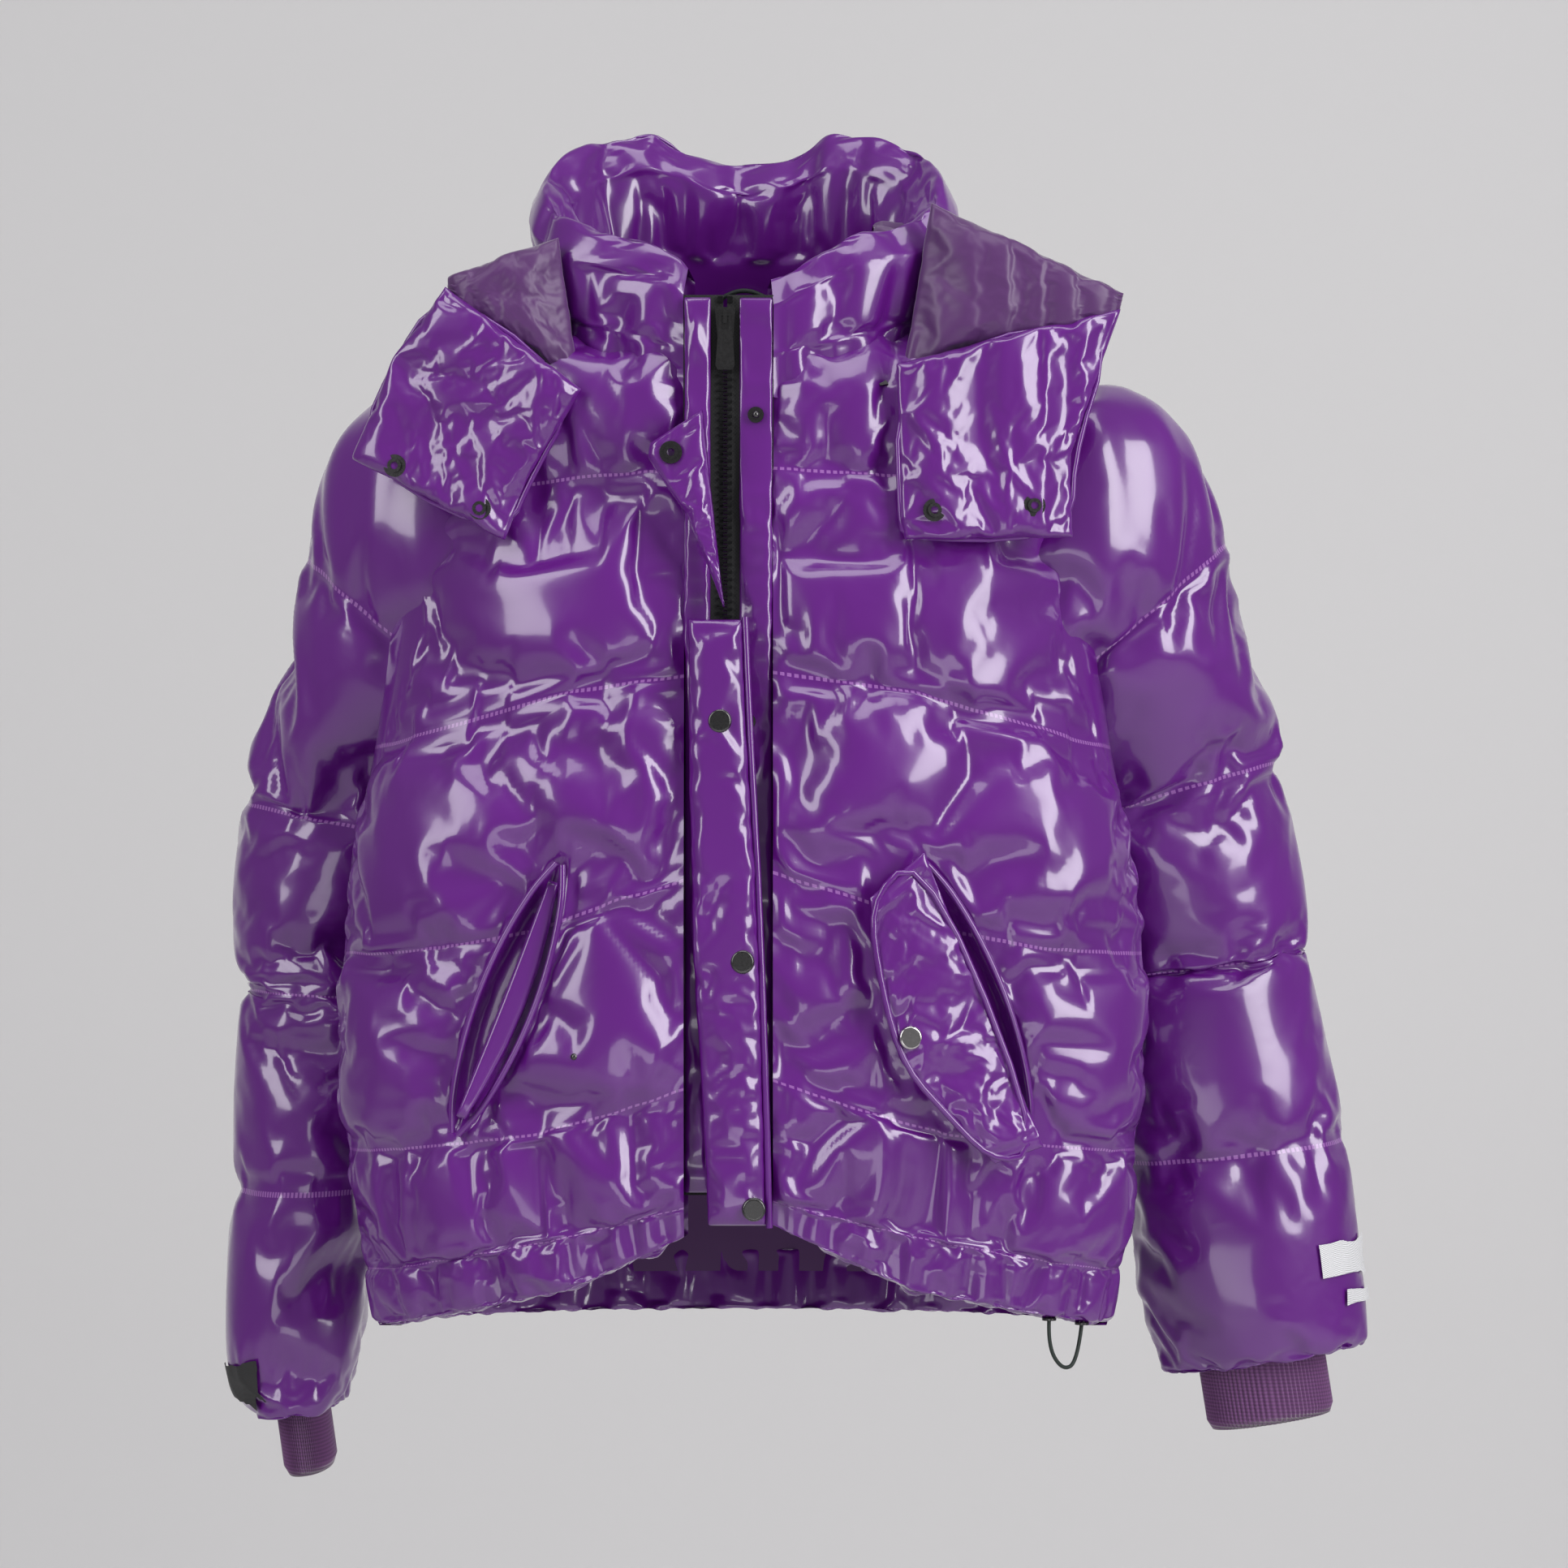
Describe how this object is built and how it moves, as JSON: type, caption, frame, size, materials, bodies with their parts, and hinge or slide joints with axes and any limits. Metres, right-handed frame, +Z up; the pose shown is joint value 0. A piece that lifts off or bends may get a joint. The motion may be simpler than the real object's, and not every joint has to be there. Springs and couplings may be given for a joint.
{
  "type": "ski jacket",
  "caption": "Short hooded puffer ski jacket with quilted padded panels, zip and snap storm flap, slanted pockets, stand collar and rib cuffs.",
  "frame": {"origin": "top of the hanging loop inside the back of the neck", "axes": "+Z up as the jacket hangs, front towards -Y, wearer's left towards +X"},
  "size_m": [0.7589, 0.3254, 0.8755],
  "materials": {
    "shell": "glossy coated quilted nylon, padded",
    "satin": "satin lining",
    "rib": "rib knit",
    "zip_tape": "woven tape",
    "zip_teeth": "moulded teeth",
    "gunmetal": "dark nickel plate",
    "bright_snap": "bright nickel plate",
    "cord": "braided elastic",
    "badge": "matt badge",
    "print": "white print"
  },
  "bodies": {
    "jacket": {"back_panel": "shell", "front_panel_left": "shell", "front_panel_right": "shell", "body_lining": "satin", "hem_band_left": "shell", "hem_band_right": "shell", "hem_band_back": "shell", "hem_drawcord": "cord", "hem_eyelets": "gunmetal", "hem_cord_loop": "cord", "collar": "shell", "collar_lining": "satin", "hang_loop": "cord", "zip_tape_right": "zip_tape", "zip_tape_left": "zip_tape", "zip_teeth_left": "zip_teeth", "zip_teeth_right": "zip_teeth", "zip_top_stops": "gunmetal", "zip_retainer": "gunmetal", "zip_facing_right": "shell", "zip_facing_left": "shell", "front_studs": "gunmetal", "pocket_bag_left": "satin", "pocket_bag_right": "satin", "pocket_welt_left": "shell", "pocket_welt_right": "shell", "pocket_flap_right": "shell", "pocket_stud_right": "gunmetal", "pocket_stud_left": "gunmetal", "hood_side_left": "shell", "hood_side_right": "shell", "hood_zip_tape": "zip_tape", "hood_zip_teeth": "zip_teeth"},
    "main_slider": {"zip_slider": "gunmetal"},
    "main_pull": {"zip_pull": "gunmetal"},
    "storm_flap": {"storm_flap": "shell", "storm_flap_caps": "gunmetal", "storm_flap_sockets": "gunmetal"},
    "storm_flap_corner": {"storm_flap_corner": "shell", "storm_flap_corner_socket": "gunmetal"},
    "pocket_flap_left": {"pocket_flap_left": "shell", "pocket_flap_left_cap": "bright_snap"},
    "sleeve_left": {"upper_sleeve_left": "shell"},
    "forearm_left": {"lower_sleeve_left": "shell", "cuff_left": "rib", "sleeve_bars": "print"},
    "sleeve_right": {"upper_sleeve_right": "shell"},
    "forearm_right": {"lower_sleeve_right": "shell", "cuff_right": "rib", "sleeve_badge": "badge"},
    "hood_crown": {"hood_crown": "shell", "hood_lining": "satin"},
    "hood_wing_left": {"hood_wing_left": "shell", "hood_sockets_left": "gunmetal"},
    "hood_wing_right": {"hood_wing_right": "shell", "hood_sockets_right": "gunmetal"},
    "hood_slider": {"hood_zip_slider": "gunmetal"},
    "hood_pull": {"hood_zip_pull": "gunmetal"}
  },
  "joints": [
    {"name": "main_zip_slide", "type": "slide", "parent": "jacket", "child": "main_slider", "axis": [0, 0, -1], "range_m": [0, 0.51]},
    {"name": "main_pull_swing", "type": "hinge", "parent": "main_slider", "child": "main_pull", "pos_m": [-0.01, -0.1719, -0.04], "axis": [-1, 0, 0], "range_deg": [0, 150]},
    {"name": "storm_flap_open", "type": "hinge", "parent": "jacket", "child": "storm_flap", "pos_m": [-0.033, -0.193, -0.4], "axis": [0, 0, -1], "range_deg": [0, 150]},
    {"name": "storm_flap_corner_turn", "type": "hinge", "parent": "jacket", "child": "storm_flap_corner", "pos_m": [-0.01, -0.193, -0.222], "axis": [-0.1051, 0, 0.9945], "range_deg": [0, 150]},
    {"name": "pocket_flap_left_lift", "type": "hinge", "parent": "jacket", "child": "pocket_flap_left", "pos_m": [0.11397, -0.19199, -0.371], "axis": [-0.3759, -0.0799, 0.9232], "range_deg": [0, 140]},
    {"name": "shoulder_left_raise", "type": "hinge", "parent": "jacket", "child": "sleeve_left", "pos_m": [0.188, -0.066, -0.055], "axis": [0, -1, 0], "range_deg": [0, 70]},
    {"name": "elbow_left_bend", "type": "hinge", "parent": "sleeve_left", "child": "forearm_left", "pos_m": [0.3294, -0.0224, -0.452], "axis": [-0.9063, -0.4226, 0], "range_deg": [0, 100]},
    {"name": "shoulder_right_raise", "type": "hinge", "parent": "jacket", "child": "sleeve_right", "pos_m": [-0.188, -0.066, -0.055], "axis": [0, 1, 0], "range_deg": [0, 70]},
    {"name": "elbow_right_bend", "type": "hinge", "parent": "sleeve_right", "child": "forearm_right", "pos_m": [-0.3121, -0.0245, -0.47], "axis": [-0.9063, 0.4226, 0], "range_deg": [0, 100]},
    {"name": "hood_raise", "type": "hinge", "parent": "jacket", "child": "hood_crown", "pos_m": [0, 0.052, -0.004], "axis": [1, 0, 0], "range_deg": [0, 90]},
    {"name": "hood_wing_left_lift", "type": "hinge", "parent": "jacket", "child": "hood_wing_left", "pos_m": [0.09645, -0.18282, -0.066], "axis": [-0.9615, -0.1403, -0.2362], "range_deg": [0, 120]},
    {"name": "hood_wing_right_lift", "type": "hinge", "parent": "jacket", "child": "hood_wing_right", "pos_m": [-0.09942, -0.18239, -0.081], "axis": [-0.7927, 0.1156, 0.5985], "range_deg": [0, 120]},
    {"name": "hood_zip_travel", "type": "hinge", "parent": "jacket", "child": "hood_slider", "pos_m": [0.02624, -0.07367, -0.03926], "axis": [0, -0.3665, 0.9304], "range_deg": [0, 25]},
    {"name": "hood_pull_swing", "type": "hinge", "parent": "hood_slider", "child": "hood_pull", "pos_m": [0.0825, -0.1568, -0.07206], "axis": [-0.8462, -0.4958, -0.1953], "range_deg": [0, 60]}
  ]
}
